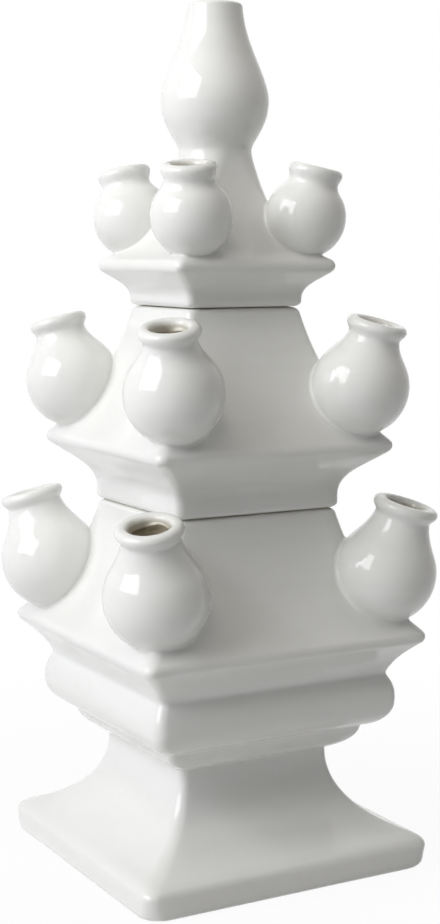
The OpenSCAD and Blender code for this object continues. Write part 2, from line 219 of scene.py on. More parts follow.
# Fineness of the meshes: steps, and points of outlines by their gap and their turn in degrees
CORNER_STEPS = 9
SIDE_STEPS = 20
ROUND_STEPS = 72
NECK_STEPS = 112
BULB_STEPS = 34
BLEND_STEPS = 12
RISE_STEPS = 40
BORE_STEPS = 30
HOLLOW_STEPS = 36
LIP_STEPS = 7
FLARE_STEPS = 10
DRAIN_STEPS = 4
RING_EDGE_STEPS = 5
SEAT_SUBDIVISIONS = 4
OUTLINE_GAP = 3.0
OUTLINE_TURN = 7.0
INSIDE_POINTS = (6, 14)
NECK_POINTS = (2.5, 8)
NECK_INSIDE_POINTS = (4, 12)
SHARP_ANGLE = radians(38)


def along(angle):
    """Unit step, or steps, at an angle in degrees."""
    a = np.radians(angle)
    return np.stack([np.cos(a), np.sin(a)], axis=-1)


def arc(centre, r, a0, a1, steps=24):
    return np.asarray(centre) + r * along(np.linspace(a0, a1, steps + 1))


def sweep(p, a, q, b, pull=PLAIN_PULL, span=(0, 1), steps=64):
    """Curve from p along the angle a to q along the angle b, pulled out by shares of its span."""
    p, q = np.array(p, float), np.array(q, float)
    reach = np.linalg.norm(q - p)
    p1 = p + pull[0] * reach * along(a)
    q1 = q - pull[1] * reach * along(b)
    t = np.linspace(*span, steps + 1)[:, None]
    return (1 - t) ** 3 * p + 3 * t * (1 - t) ** 2 * p1 + 3 * t**2 * (1 - t) * q1 + t**3 * q


def shifted(outline, d):
    """Outline moved square to itself, to the left of its run."""
    run = np.gradient(outline, axis=0)
    run /= np.linalg.norm(run, axis=1)[:, None]
    return outline + d * np.column_stack([-run[:, 1], run[:, 0]])


def with_corners(outline, *radii):
    """Sections (half width, height, corner radius), with the radii given as (height, radius)."""
    heights, rs = zip(*radii)
    return np.column_stack([outline, np.interp(outline[:, 1], heights, rs)])


def turned(outline, r0, r1, bend):
    """Sections whose corner radius goes from r0 to r1 along the outline's height."""
    z = outline[:, 1]
    share = np.clip((z - z[0]) / (z[-1] - z[0]), 0, 1)
    return np.column_stack([outline, r0 + (r1 - r0) * share**bend])


def softened(outline, blur=CREASE_BLUR, step=0.25, spread=3):
    """Outline with its creases rounded off, as glaze does, and its ends kept."""
    run = np.r_[0, np.cumsum(np.linalg.norm(np.diff(outline[:, :2], axis=0), axis=1))]
    even = np.linspace(0, run[-1], int(run[-1] / step) + 1)
    fine = np.column_stack([np.interp(even, run, column) for column in outline.T])
    reach = int(spread * blur / step)
    weights = np.exp(-0.5 * (np.arange(-reach, reach + 1) * step / blur) ** 2)
    lead = 2 * fine[0] - fine[reach:0:-1]
    tail = 2 * fine[-1] - fine[-2 : -reach - 2 : -1]
    padded = np.vstack([lead, fine, tail])
    return np.column_stack([np.convolve(c, weights / weights.sum(), "valid") for c in padded.T])


def thinned(outline, gap=OUTLINE_GAP, turn=OUTLINE_TURN):
    """Outline with points about a gap apart, and closer where it bends."""
    step = np.diff(outline[:, :2], axis=0)
    length = np.linalg.norm(step, axis=1)
    heading = np.unwrap(np.arctan2(step[:, 1], step[:, 0]))
    bend = np.abs(np.diff(heading, append=heading[-1]))
    need = np.r_[0, np.cumsum(length / gap + bend / radians(turn))]
    places = np.linspace(0, need[-1], ceil(need[-1]) + 1)
    return np.column_stack([np.interp(places, need, column) for column in outline.T])


# Outlines, as (half width, height)
def tip_centre(tip):
    return np.array(tip) - (TIP_R, 0)


def tip_arc(tip, leave=ROOF_ANGLE):
    return arc(tip_centre(tip), TIP_R, COVE_ANGLE, leave)


def cove(start, tip, slope=90, span=(0, 1)):
    return sweep(start, slope, tip_centre(tip) + TIP_R * along(COVE_ANGLE), COVE_ANGLE + 90, span=span)


def roof(tip, half, z, span=(0, 1)):
    start = tip_centre(tip) + TIP_R * along(ROOF_ANGLE)
    end = np.array([half, z]) - TOP_EDGE_R + TOP_EDGE_R * along(ROOF_END_ANGLE)
    return sweep(start, ROOF_ANGLE + 90, end, ROOF_END_ANGLE + 90, span=span)


def top_edge(half, z):
    return arc((half - TOP_EDGE_R, z - TOP_EDGE_R), TOP_EDGE_R, ROOF_END_ANGLE, 90)


def low_edge(half, z, r):
    return arc((half - r, z + r), r, -90, 0)


def reservoir(roof_inside, cove_inside, lowest):
    """Inside of a tier from the top down, one wall in from its roof and its cove."""
    walls = np.vstack([shifted(roof_inside, WALL)[::-1], shifted(cove_inside, WALL)[::-1]])
    return walls[walls[:, 1] > lowest + INNER_CORNER_R]


Tier = namedtuple("Tier", "outside inside")


def lower_tier():
    top_z = top_of("lower_tier_body")
    tip = (half_width("lower_tier_body"), GROOVE_Z + LOWER_COVE_H)
    middle = (CUSHION_HALF, (CUSHION_Z + GROOVE_Z) / 2)
    groove = (GROOVE_HALF, GROOVE_Z)
    mouldings = softened(np.vstack([
        sweep((WAIST_HALF, FOOT_H), STEP_ANGLES[0], (STEP_HALF, CUSHION_Z), STEP_ANGLES[1]),
        sweep((STEP_HALF, CUSHION_Z), CUSHION_ANGLES[0], middle, 90, CUSHION_PULL),
        sweep(middle, 90, groove, CUSHION_ANGLES[1]),
        cove(groove, tip, LOWER_COVE_SLOPE),
    ]), STEP_BLUR)
    eave = tip_arc(tip)
    slopes = np.vstack([roof(tip, LOWER_TOP_HALF, top_z), top_edge(LOWER_TOP_HALF, top_z)])
    outside = with_corners(
        np.vstack([mouldings, eave, slopes]),
        (FOOT_H, WAIST_CORNER_R), (CUSHION_Z, STEP_CORNER_R), (middle[1], CUSHION_CORNER_R),
        (GROOVE_Z, GROOVE_CORNER_R), (tip[1], LOWER_EAVE_R), (top_z, LOWER_TOP_R),
    )
    hollow = np.vstack([
        reservoir(
            roof(tip, LOWER_TOP_HALF, top_z, ROOF_INSIDE),
            cove(groove, tip, LOWER_COVE_SLOPE, COVE_INSIDE),
            GROOVE_Z,
        ),
        [(GROOVE_HALF - WALL, middle[1])],
        [(STEP_HALF - WALL, CUSHION_Z), (WAIST_HALF, FOOT_H + FLOOR_T)],
    ])
    inside = with_corners(hollow, (FOOT_H, INNER_CORNER_R), (top_z, INNER_CORNER_R))
    return Tier(outside, np.vstack([mouth(LOWER_MOUTH_HALF, top_z), inside]))


def middle_tier():
    z, top_z = bottom_of("middle_tier_body"), top_of("middle_tier_body")
    collar = LOWER_TOP_HALF + COLLAR_OVERHANG
    cove_start = (collar, z + MIDDLE_COLLAR_H)
    tip = (half_width("middle_tier_body"), z + MIDDLE_COLLAR_H + MIDDLE_COVE_H)
    under = np.vstack([low_edge(collar, z, COLLAR_EDGE_R), cove(cove_start, tip), tip_arc(tip)])
    slopes = np.vstack([roof(tip, MIDDLE_TOP_HALF, top_z), top_edge(MIDDLE_TOP_HALF, top_z)])
    outside = with_corners(
        np.vstack([under, slopes]), (z, LOWER_TOP_R), (tip[1], MIDDLE_EAVE_R), (top_z, MIDDLE_TOP_R)
    )
    floor_z = z + FLOOR_T
    hollow = np.vstack([
        reservoir(
            roof(tip, MIDDLE_TOP_HALF, top_z, ROOF_INSIDE),
            cove(cove_start, tip, span=COVE_INSIDE),
            floor_z,
        ),
        [(collar - WALL - INNER_CORNER_R, floor_z)],
    ])
    inside = with_corners(hollow, (z, INNER_CORNER_R), (top_z, INNER_CORNER_R))
    return Tier(outside, np.vstack([mouth(MIDDLE_MOUTH_HALF, top_z), inside]))


def top_tip():
    return half_width("top_tier_body"), bottom_of("top_tier_body") + TOP_COLLAR_H + TOP_COVE_H


def stem(tip, span=(0, 1)):
    start = tip_centre(tip) + TIP_R * along(STEM_ANGLE)
    return sweep(start, STEM_ANGLE + 90, (STEM_R, WAIST_Z), 90, STEM_PULL, span)


def gourd():
    return sweep((STEM_R, WAIST_Z), GOURD_ANGLE, (GOURD_R, WAIST_Z + GOURD_H), 90, GOURD_PULL)


def waist_joint():
    """Outlines below and above the waist, where slip runs the neck into the stem."""
    whole = softened(np.vstack([stem(top_tip()), gourd()]), WAIST_BLUR)
    r, z = whole.T
    joint = (np.interp(WAIST_Z, z, r), WAIST_Z)
    return np.vstack([whole[z < WAIST_Z], joint]), np.vstack([joint, whole[z > WAIST_Z]])


def top_tier():
    z = bottom_of("top_tier_body")
    collar = MIDDLE_TOP_HALF + COLLAR_OVERHANG
    cove_start = (collar, z + TOP_COLLAR_H)
    tip = top_tip()
    under = np.vstack([
        low_edge(collar, z, COLLAR_EDGE_R), cove(cove_start, tip), tip_arc(tip, STEM_ANGLE)
    ])
    outside = np.vstack([
        with_corners(under, (z, MIDDLE_TOP_R), (tip[1], TOP_EAVE_R)),
        turned(waist_joint()[0], TOP_EAVE_R, STEM_R, STEM_BEND),
    ])
    floor_z = z + FLOOR_T
    hollow = np.vstack([
        [(STEM_R - WALL, WAIST_Z)],
        reservoir(stem(tip, ROOF_INSIDE), cove(cove_start, tip, span=COVE_INSIDE), floor_z),
        [(collar - WALL - INNER_CORNER_R, floor_z)],
    ])
    return Tier(outside, turned(hollow, STEM_R - WALL, INNER_CORNER_R, 1 / STEM_BEND))


def mouth(half, z):
    return np.array([(half, z, MOUTH_CORNER_R), (half, z - FLOOR_T, MOUTH_CORNER_R)])


# Meshes
def square_ring():
    """Weights of a rounded square's points on its corner centres and on its corner radius."""
    centres, radii = [], []
    for quarter in range(4):
        corner, following = sqrt(2) * along(90 * quarter + 45), sqrt(2) * along(90 * quarter + 135)
        for k in range(CORNER_STEPS + 1):
            centres.append(corner)
            radii.append(along(90 * (quarter + k / CORNER_STEPS)))
        for k in range(1, SIDE_STEPS):
            share = k / SIDE_STEPS
            centres.append((1 - share) * corner + share * following)
            radii.append(along(90 * (quarter + 1)))
    return np.array(centres), np.array(radii)


RING_CENTRES, RING_RADII = square_ring()


def lofted(sections):
    """Rings of points through rounded square sections."""
    half, z, r = sections.T
    r = np.minimum(r, half - LEAST_FLAT)
    flat = (half - r)[:, None, None] * RING_CENTRES + r[:, None, None] * RING_RADII
    height = np.broadcast_to(z[:, None, None], flat.shape[:2] + (1,))
    return np.concatenate([flat, height], axis=2)


def revolved(outline, steps):
    """Rings of points round the axis through an outline of (radius, height)."""
    turn = along(np.arange(steps) * 360 / steps)
    flat = outline[:, 0, None, None] * turn
    height = np.broadcast_to(outline[:, 1, None, None], flat.shape[:2] + (1,))
    return np.concatenate([flat, height], axis=2)


def piece_from(name, rings, slots, depth=None, loop=False):
    """Object whose skin runs through the rings, run round into a loop or closed by its end rings.

    Slots name the skin from each ring to the next, and depths say how far inside a hollow each ring
    lies.
    """
    m, n, _ = rings.shape
    rows = m if loop else m - 1
    i, k = np.meshgrid(np.arange(rows), np.arange(n), indexing="ij")
    up, on = (i + 1) % m, (k + 1) % n
    quads = np.stack([i * n + k, i * n + on, up * n + on, up * n + k], axis=-1).reshape(-1, 4)
    faces = quads.tolist()
    face_slots = np.repeat(slots[:rows], n).tolist()
    if not loop:
        faces += [list(range(n))[::-1], list(range((m - 1) * n, m * n))]
        face_slots += [slots[0], slots[rows - 1]]
    mesh = bpy.data.meshes.new(name)
    mesh.from_pydata((rings.reshape(-1, 3) * MM).tolist(), [], faces)
    for material in SKINS:
        mesh.materials.append(material)
    mesh.polygons.foreach_set("material_index", face_slots)
    inside = mesh.attributes.new(INSIDE, "FLOAT", "POINT")
    if depth is not None:
        share = np.clip(depth / INSIDE_REACH, 0, 1).astype(np.float32)
        inside.data.foreach_set("value", np.repeat(share, n))
    piece = bpy.data.objects.new(name, mesh)
    bpy.context.scene.collection.objects.link(piece)
    return piece


def cut_seats(piece, centres, r):
    """Opens the wall of a tier where the bulbs are luted on."""
    cutter_mesh = bpy.data.meshes.new("seats")
    shape = bmesh.new()
    for centre in centres:
        place = Matrix.Translation(Vector(centre) * MM)
        bmesh.ops.create_icosphere(
            shape, subdivisions=SEAT_SUBDIVISIONS, radius=r * MM, matrix=place
        )
    shape.to_mesh(cutter_mesh)
    shape.free()
    cutter = bpy.data.objects.new("seats", cutter_mesh)
    bpy.context.scene.collection.objects.link(cutter)
    cut = piece.modifiers.new("seats", "BOOLEAN")
    cut.operation = "DIFFERENCE"
    cut.solver = "EXACT"
    cut.object = cutter
    whole = piece.data
    graph = bpy.context.evaluated_depsgraph_get()
    piece.data = bpy.data.meshes.new_from_object(piece.evaluated_get(graph))
    piece.modifiers.clear()
    bpy.data.objects.remove(cutter)
    bpy.data.meshes.remove(cutter_mesh)
    bpy.data.meshes.remove(whole)


# Unevenness of the hand: waves (direction, length in millimetres, start) that pull the skin in a
# little, and by less within a reach of the axis
WAVES = (((0.8, 0.3, 0.52), 71, 0.4), ((-0.35, 0.84, 0.4), 58, 2.1), ((0.3, -0.5, 0.81), 93, 4.4))
WAVE_DEPTH = 0.3
AXIS_REACH = 10


def make_uneven(piece):
    """Pulls the skin towards the axis by up to the depth of the waves, alike on pieces that meet."""
    mesh = piece.data
    points = np.empty(len(mesh.vertices) * 3, np.float32)
    mesh.vertices.foreach_get("co", points)
    points = points.reshape(-1, 3).astype(float)
    swell = sum(
        np.sin(points @ np.array(way) / MM * 2 * pi / length + start) for way, length, start in WAVES
    )
    pull = WAVE_DEPTH * MM * (0.5 + 0.5 * swell / len(WAVES))
    out = np.linalg.norm(points[:, :2], axis=1)
    points[:, :2] *= (1 - pull / np.maximum(out, AXIS_REACH * MM))[:, None]
    mesh.vertices.foreach_set("co", points.astype(np.float32).ravel())
    mesh.update()


def finished(piece, body, slot, *nodes):
    """Smooths a piece, sets it on its body and lets it stand for its solids."""
    make_uneven(piece)
    piece.data.shade_smooth()
    piece.data.set_sharp_from_angle(angle=SHARP_ANGLE)
    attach(piece, body)
    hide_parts(*nodes)
    return piece


# Materials: colours by place on a noise or by depth inside a hollow, where 1 is as deep as the stain
# and the painted shade go, noises as (scale, detail), roughness as (least, most) and bumps as (strength,
# distance in metres)
GLAZE_IOR = 1.5
GLAZE_CLOUDS = ((0.3, (0.80, 0.80, 0.78)), (0.7, (0.84, 0.838, 0.822)))
GLAZE_ROUGHNESS = (0.0, 0.04)
INSIDE = "inside"
INSIDE_REACH = 10.0
# Colours down the inside of a hollow by depth: painted shade, as the white lip darkens into the mouth,
# then a dark line at the cut edge and a brown stain deeper in
STAINS_AND_PAINTED_SHADE = (
    (0.0, (1.0, 1.0, 1.0)),
    (0.22, (0.9, 0.88, 0.82)),
    (0.42, (0.66, 0.61, 0.49)),
    (0.49, (0.26, 0.23, 0.16)),
    (0.56, (0.62, 0.55, 0.42)),
    (1.0, (0.64, 0.565, 0.44)),
)
STAIN_AND_SHADE_WOBBLE = 0.04
CLOUD_NOISE = (12, 4)
STAIN_AND_SHADE_NOISE = (160, 3)
SMEAR_NOISE = (60, 3)
STREAK_NOISE = (30, 1)
FLOW_NOISE = (28, 2)
GRAIN_NOISE = (900, 2)
STREAK_BUMP = (1, 0.00003)
FLOW_BUMP = (0.1, 0.0006)
GRAIN_BUMP = (0.015, 0.0002)
# How much closer clouds and the level marks of the sponge lie up the height than along it
LEVEL_SQUEEZE = (1, 1, 6)
BISCUIT_CLOUDS = ((0.3, (0.66, 0.60, 0.50)), (0.7, (0.76, 0.71, 0.62)))
BISCUIT_ROUGHNESS = (0.7, 0.9)
BISCUIT_NOISE = (60, 6)
SAND_NOISE = (1400, 3)
SAND_BUMP = (0.3, 0.0003)


def shader(name, **sockets):
    material = bpy.data.materials.new(name)
    material.use_nodes = True
    nodes = material.node_tree.nodes
    bsdf = nodes["Principled BSDF"]
    for socket, value in sockets.items():
        bsdf.inputs[socket.replace("_", " ")].default_value = value
    return material, nodes, material.node_tree.links, bsdf


def noise(nodes, links, scale, detail, coordinates):
    texture = nodes.new("ShaderNodeTexNoise")
    texture.inputs["Scale"].default_value = scale
    texture.inputs["Detail"].default_value = detail
    links.new(coordinates, texture.inputs["Vector"])
    return texture.outputs["Fac"]


def ramp(nodes, links, fac, *stops):
    """Colour ramp through (place, colour) stops."""
    node = nodes.new("ShaderNodeValToRGB")
    elements = node.color_ramp.elements
    while len(elements) < len(stops):
        elements.new(0.5)
    for element, (place, colour) in zip(elements, stops):
        element.position = place
        element.color = (*colour, 1)
    links.new(fac, node.inputs["Fac"])
    return node.outputs["Color"]


def ranged(nodes, links, fac, low, high):
    node = nodes.new("ShaderNodeMapRange")
    node.inputs["To Min"].default_value = low
    node.inputs["To Max"].default_value = high
    links.new(fac, node.inputs["Value"])
    return node.outputs["Result"]


def bump(nodes, links, height, strength, distance, normal=None):
    node = nodes.new("ShaderNodeBump")
    node.inputs["Strength"].default_value = strength
    node.inputs["Distance"].default_value = distance
    links.new(height, node.inputs["Height"])
    if normal is not None:
        links.new(normal, node.inputs["Normal"])
    return node.outputs["Normal"]


def glaze_material():
    """Glossy glaze over a pale body, uneven in colour, gloss and flow, stained inside, with painted
    shade in mouths.
    """
    material, nodes, links, bsdf = shader("glaze", IOR=GLAZE_IOR)
    place = nodes.new("ShaderNodeTexCoord").outputs["Object"]
    level = nodes.new("ShaderNodeVectorMath")
    level.operation = "MULTIPLY"
    links.new(place, level.inputs[0])
    level.inputs[1].default_value = LEVEL_SQUEEZE
    streaked = level.outputs["Vector"]
    clouds = ramp(nodes, links, noise(nodes, links, *CLOUD_NOISE, streaked), *GLAZE_CLOUDS)
    inside = nodes.new("ShaderNodeAttribute")
    inside.attribute_name = INSIDE
    # Wobbled depth inside: painted shade under the lips, then a dark line at the cut and a brown stain
    # deeper in
    stain_and_shade_depth = nodes.new("ShaderNodeMath")
    stain_and_shade_depth.operation = "MULTIPLY_ADD"
    wobble = ranged(nodes, links, noise(nodes, links, *STAIN_AND_SHADE_NOISE, place), -1, 1)
    links.new(wobble, stain_and_shade_depth.inputs[0])
    stain_and_shade_depth.inputs[1].default_value = STAIN_AND_SHADE_WOBBLE
    links.new(inside.outputs["Fac"], stain_and_shade_depth.inputs[2])
    tint = nodes.new("ShaderNodeMix")
    tint.data_type = "RGBA"
    tint.blend_type = "MULTIPLY"
    tint.inputs["Factor"].default_value = 1
    links.new(clouds, tint.inputs["A"])
    links.new(ramp(nodes, links, stain_and_shade_depth.outputs["Value"], *STAINS_AND_PAINTED_SHADE), tint.inputs["B"])
    links.new(tint.outputs["Result"], bsdf.inputs["Base Color"])
    smears = noise(nodes, links, *SMEAR_NOISE, place)
    links.new(ranged(nodes, links, smears, *GLAZE_ROUGHNESS), bsdf.inputs["Roughness"])
    streaks = bump(nodes, links, noise(nodes, links, *STREAK_NOISE, streaked), *STREAK_BUMP)
    flow = bump(nodes, links, noise(nodes, links, *FLOW_NOISE, place), *FLOW_BUMP, streaks)
    grain = bump(nodes, links, noise(nodes, links, *GRAIN_NOISE, place), *GRAIN_BUMP, flow)
    links.new(grain, bsdf.inputs["Normal"])
    return material


def biscuit_material():
    """Unglazed, fired body: matt, cream and finely grained."""
    material, nodes, links, bsdf = shader("biscuit")
    place = nodes.new("ShaderNodeTexCoord").outputs["Object"]
    clouds = noise(nodes, links, *BISCUIT_NOISE, place)
    links.new(ramp(nodes, links, clouds, *BISCUIT_CLOUDS), bsdf.inputs["Base Color"])
    sand = noise(nodes, links, *SAND_NOISE, place)
    links.new(ranged(nodes, links, sand, *BISCUIT_ROUGHNESS), bsdf.inputs["Roughness"])
    links.new(bump(nodes, links, sand, *SAND_BUMP), bsdf.inputs["Normal"])
    return material


SKINS = [glaze_material(), biscuit_material()]
GLAZED, BARE = range(2)


# Tiers
def skin_distance(skin, points):
    """About how far points lie outside a tier's skin, given as sections up its height."""
    half, z, r = skin.T
    at = points[..., 2]
    flat = np.gradient(z) / np.hypot(np.gradient(half), np.gradient(z))
    radius = np.interp(at, z, r)
    beyond = np.abs(points[..., :2]) - (np.interp(at, z, half) - radius)[..., None]
    outside = np.linalg.norm(np.maximum(beyond, 0), axis=-1)
    inside = np.minimum(beyond.max(axis=-1), 0)
    return (outside + inside - radius) * np.interp(at, z, flat)


def smooth_min(a, b, k):
    share = np.clip(0.5 + 0.5 * (b - a) / k, 0, 1)
    return b + (a - b) * share - k * share * (1 - share)


class Spout:
    """Place of one spout, from its stem hole: its bulb's centre, its axes and its hole's radius."""

    def __init__(self, sizes, corner):
        hole = mounts[f"{sizes.tier}_{corner}_stem_hole"]
        self.sizes = sizes
        self.name = f"{sizes.tier}_spout_{corner}"
        self.hole_r = hole["dims"]["r_mm"]
        self.up = np.array(hole["axis"], float)
        middle = sizes.rim_h - LIP_R - hole["dims"]["length_mm"] / 2
        self.centre = np.array(hole["pos_m"]) / MM - middle * self.up
        self.out = self.centre * (1, 1, 0)
        self.out -= (self.out @ self.up) * self.up
        self.out /= np.linalg.norm(self.out)
        self.side = np.cross(self.up, self.out)

    def world(self, local):
        """Points in the part's frame from points in the spout's own: out, side, up."""
        return self.centre + local @ np.array([self.out, self.side, self.up])


def bulb_skirt(spout, skin, shoulder):
    """Rings down a spout from its neck and out over the slip that blends its bulb into its tier."""
    r, k = spout.sizes.bulb_r, spout.sizes.blend
    slopes = np.arctan2(*shoulder.T)
    polar = np.arange(slopes[0], radians(LOWEST_POLAR), radians(POLAR_STEP))
    skin_r = np.interp(polar, slopes, np.linalg.norm(shoulder, axis=1))
    turn = np.arange(ROUND_STEPS) * 2 * pi / ROUND_STEPS
    t, p = np.meshgrid(turn, polar, indexing="ij")
    local = np.stack([np.sin(p) * np.cos(t), np.sin(p) * np.sin(t), np.cos(p)], axis=-1)
    rises = np.linspace(0, SLIP_REACH * k, RISE_STEPS + 1)

    def blended(rise):
        points = spout.world((skin_r + rise)[:, None] * local)
        return smooth_min(rise, skin_distance(skin, points), k)

    away = np.stack([blended(rise) for rise in rises], axis=-1)
    free = away > SLIP_FREE
    first = np.where(free.any(axis=-1), free.argmax(axis=-1), len(rises) - 1)
    before = np.maximum(first - 1, 0)
    f0 = np.take_along_axis(away, before[..., None], -1)[..., 0]
    f1 = np.take_along_axis(away, first[..., None], -1)[..., 0]
    share = np.where(f1 > f0, np.clip(-f0 / np.where(f1 > f0, f1 - f0, 1), 0, 1), 0)
    rise = rises[before] + share * (rises[first] - rises[before])
    sunk = skin_distance(skin, spout.world(skin_r[:, None] * local))
    down, blend, tucked, buried = [], [], [], []
    for row in range(ROUND_STEPS):
        start = max(int(np.argmax(rise[row] > SLIP_FROM)), 2)
        end = int(np.argmax(rise[row] > SLIP_TO * k))
        path = (skin_r + rise[row])[start : end + 1, None] * local[row, start : end + 1]
        run = np.r_[0, np.cumsum(np.linalg.norm(np.diff(path, axis=0), axis=1))]
        places = np.linspace(0, run[-1], BLEND_STEPS)
        blend.append(np.column_stack([np.interp(places, run, c) for c in path.T]))
        angles = np.linspace(polar[0], polar[start], BULB_STEPS, endpoint=False)[1:]
        flat = np.sin(angles)
        ways = np.column_stack([flat * np.cos(turn[row]), flat * np.sin(turn[row]), np.cos(angles)])
        down.append(np.interp(angles, polar, skin_r)[:, None] * ways)
        deep = max(int(np.argmax(sunk[row] < -TUCK_DEPTH)), end)
        buried.append(r * local[row, deep])
        tucked.append(0.5 * (blend[-1][-1] + buried[-1]))
    columns = np.concatenate([np.array(down), np.array(blend)], axis=1)
    rings = np.concatenate([columns, np.array(tucked)[:, None], np.array(buried)[:, None]], axis=1)
    return spout.world(rings.transpose(1, 0, 2))


def spout_rings(spout, skin, seed):
    """Rings of a spout: up the inside from its drain, over the lip and down the outside again."""
    s = spout.sizes
    inner_r = s.bulb_r - SPOUT_WALL
    lip_z = s.rim_h - LIP_R
    drain_angle = degrees(acos(DRAIN_R / inner_r))
    hole_angle = degrees(acos(spout.hole_r / inner_r))
    hollow = arc((0, 0), inner_r, -drain_angle, hole_angle, HOLLOW_STEPS)
    bore_z = np.linspace(hollow[-1, 1], lip_z, BORE_STEPS + 1)[1:]
    bore = np.column_stack([np.full(BORE_STEPS, spout.hole_r), bore_z])
    lip_in = arc((spout.hole_r + LIP_R, lip_z), LIP_R, 180, 90, LIP_STEPS)[1:]
    lip_out = arc((s.rim_r - LIP_R, lip_z), LIP_R, 90, 0, LIP_STEPS)[1:]
    neck_z = s.rim_h - LIP_H
    neck = (s.neck_r, neck_z)
    flare = sweep((s.rim_r, lip_z), 270, neck, SHOULDER_SLOPE + 180, steps=FLARE_STEPS)[1:]
    shoulder = sweep(neck, SHOULDER_SLOPE + 180, s.bulb_r * along(BULB_ANGLE), BULB_ANGLE - 90)
    inside = np.vstack([hollow, bore])
    cut = cut_mouth(revolved(inside, ROUND_STEPS), s.rim_h - CUT_BELOW_RIM, seed)
    rim = np.concatenate([cut, revolved(np.vstack([lip_in, lip_out, flare]), ROUND_STEPS)])
    drain = arc((0, 0), s.bulb_r, DRAIN_START, -degrees(acos(DRAIN_R / s.bulb_r)), DRAIN_STEPS)
    rings = np.concatenate([
        spout.world(hand_made_lip(rim, neck_z, s.rim_h, seed)),
        bulb_skirt(spout, skin, shoulder),
        spout.world(revolved(drain, ROUND_STEPS)),
    ])
    depth = np.zeros(len(rings))
    inner = np.vstack([inside, lip_in])
    depth[: len(inner)] = s.rim_h - inner[:, 1]
    return rings, depth


def waves_round(turn, seed, waves):
    return sum(share * np.sin(count * turn + start * seed) for share, count, start in waves)


def cut_mouth(rings, cut_z, seed):
    """Rough, wavy edge inside a spout where its neck was set on the opening cut in its bulb."""
    x, y, z = np.moveaxis(rings, 2, 0)
    turn, r = np.arctan2(y, x), np.hypot(x, y)
    near = np.exp(-(((z - cut_z) / CUT_REACH) ** 2))
    bite = CUT_DEPTH * near * (1 + waves_round(turn, seed, CUT_BITES))
    rise = CUT_WAVE * near * waves_round(turn, seed, CUT_RISES)
    shrink = 1 - bite / r
    return np.stack([x * shrink, y * shrink, z + rise], axis=2)


def hand_made_lip(rings, neck_z, rim_z, seed):
    """Lip a little oval and a little tilted, each in its own way."""
    rise = np.clip((rings[..., 2:] - neck_z) / (rim_z - neck_z), 0, 1)
    turn = np.arctan2(rings[..., 1:2], rings[..., :1])
    oval = 1 + LIP_OVAL * rise * np.cos(2 * turn + seed)
    r = np.hypot(rings[..., :1], rings[..., 1:2])
    tilt = radians(LIP_TILT) * rise * r * np.cos(turn + TILT_TURN * seed)
    return np.concatenate([rings[..., :2] * oval, rings[..., 2:] + tilt], axis=2)


def make_tier(tier, shape, body, bare):
    """Body of a tier, opened at its bulbs, and its four spouts. Bare gives its unglazed rings."""
    outside = softened(shape.outside)
    outer = thinned(outside)
    inner = thinned(softened(shape.inside, INSIDE_BLUR), *INSIDE_POINTS)
    slots = np.full(len(outer) + len(inner), GLAZED)
    slots[[ring if ring >= 0 else len(outer) + ring for ring in bare]] = BARE
    depth = np.repeat([0, INSIDE_REACH], [len(outer), len(inner)])
    node = f"{tier}_tier_body"
    piece = piece_from(node + "_glazed", lofted(np.vstack([outer, inner])), slots, depth)
    spouts = [Spout(SPOUTS[tier], corner) for corner in CORNERS]
    cut_seats(piece, [spout.centre for spout in spouts], SPOUTS[tier].bulb_r - SPOUT_WALL / 2)
    finished(piece, body, "glaze", node)
    rising = outside[np.r_[True, np.diff(np.maximum.accumulate(outside[:, 1])) > 0]]
    for seed, spout in enumerate(spouts, len(tier)):
        rings, depth = spout_rings(spout, rising, seed)
        slots = np.full(len(rings), GLAZED)
        luted = piece_from(spout.name + "_glazed", rings, slots, depth, loop=True)
        finished(luted, body, "glaze", spout.name)


UNDERSIDE, SEAT = 0, -1
make_tier("lower", lower_tier(), "lower_tier", [SEAT])
make_tier("middle", middle_tier(), "middle_tier", [UNDERSIDE, SEAT])
make_tier("top", top_tier(), "top_tier", [UNDERSIDE])


# Foot, locating rings and bottle neck
def make_foot():
    shoulder_end = (FOOT_HALF - SHOULDER_W, SLAB_H + SHOULDER_H)
    rise = sweep(shoulder_end, SHOULDER_ANGLE, (WAIST_HALF, FOOT_H), 90, FOOT_PULL)
    outside = softened(np.vstack([
        low_edge(FOOT_HALF, 0, FOOT_EDGE_R),
        sweep((FOOT_HALF, SLAB_H), 90, shoulder_end, SHOULDER_ANGLE),
        rise,
    ]))
    inside = np.vstack([shifted(rise, FOOT_WALL)[::-1], [(FOOT_HALF - FOOT_WALL, 0)]])
    outer = with_corners(
        thinned(outside), (0, BASE_CORNER_R), (SLAB_H, SLAB_CORNER_R), (FOOT_H, WAIST_CORNER_R)
    )
    inner = with_corners(
        thinned(inside, *INSIDE_POINTS), (0, BASE_CORNER_R - FOOT_WALL), (FOOT_H, INNER_CORNER_R)
    )
    slots = np.full(len(outer) + len(inner), GLAZED)
    slots[-1] = BARE
    depth = np.repeat([0, INSIDE_REACH], [len(outer), len(inner)])
    rings = lofted(np.vstack([outer, inner]))
    piece = piece_from("pedestal_foot_glazed", rings, slots, depth, loop=True)
    finished(piece, "lower_tier", "glaze", "pedestal_foot")


def make_locating_ring(node, body):
    """Square lip under a floor, unglazed and soft at its edges."""
    low, high, half = bottom_of(node), top_of(node), half_width(node)
    outer, inner = half, half - RING_WALL
    edge = RING_EDGE_R
    outline = np.vstack([
        arc((inner + edge, low + edge), edge, 180, 270, RING_EDGE_STEPS),
        arc((outer - edge, low + edge), edge, 270, 360, RING_EDGE_STEPS),
        [(outer, high), (inner, high)],
    ])
    wide = outline[:, 0] > (outer + inner) / 2
    corner = np.where(wide, MOUTH_CORNER_R, INNER_CORNER_R)
    rings = lofted(np.column_stack([outline, corner]))
    piece = piece_from(node + "_bare", rings, np.full(len(rings), BARE), loop=True)
    finished(piece, body, "biscuit", node)


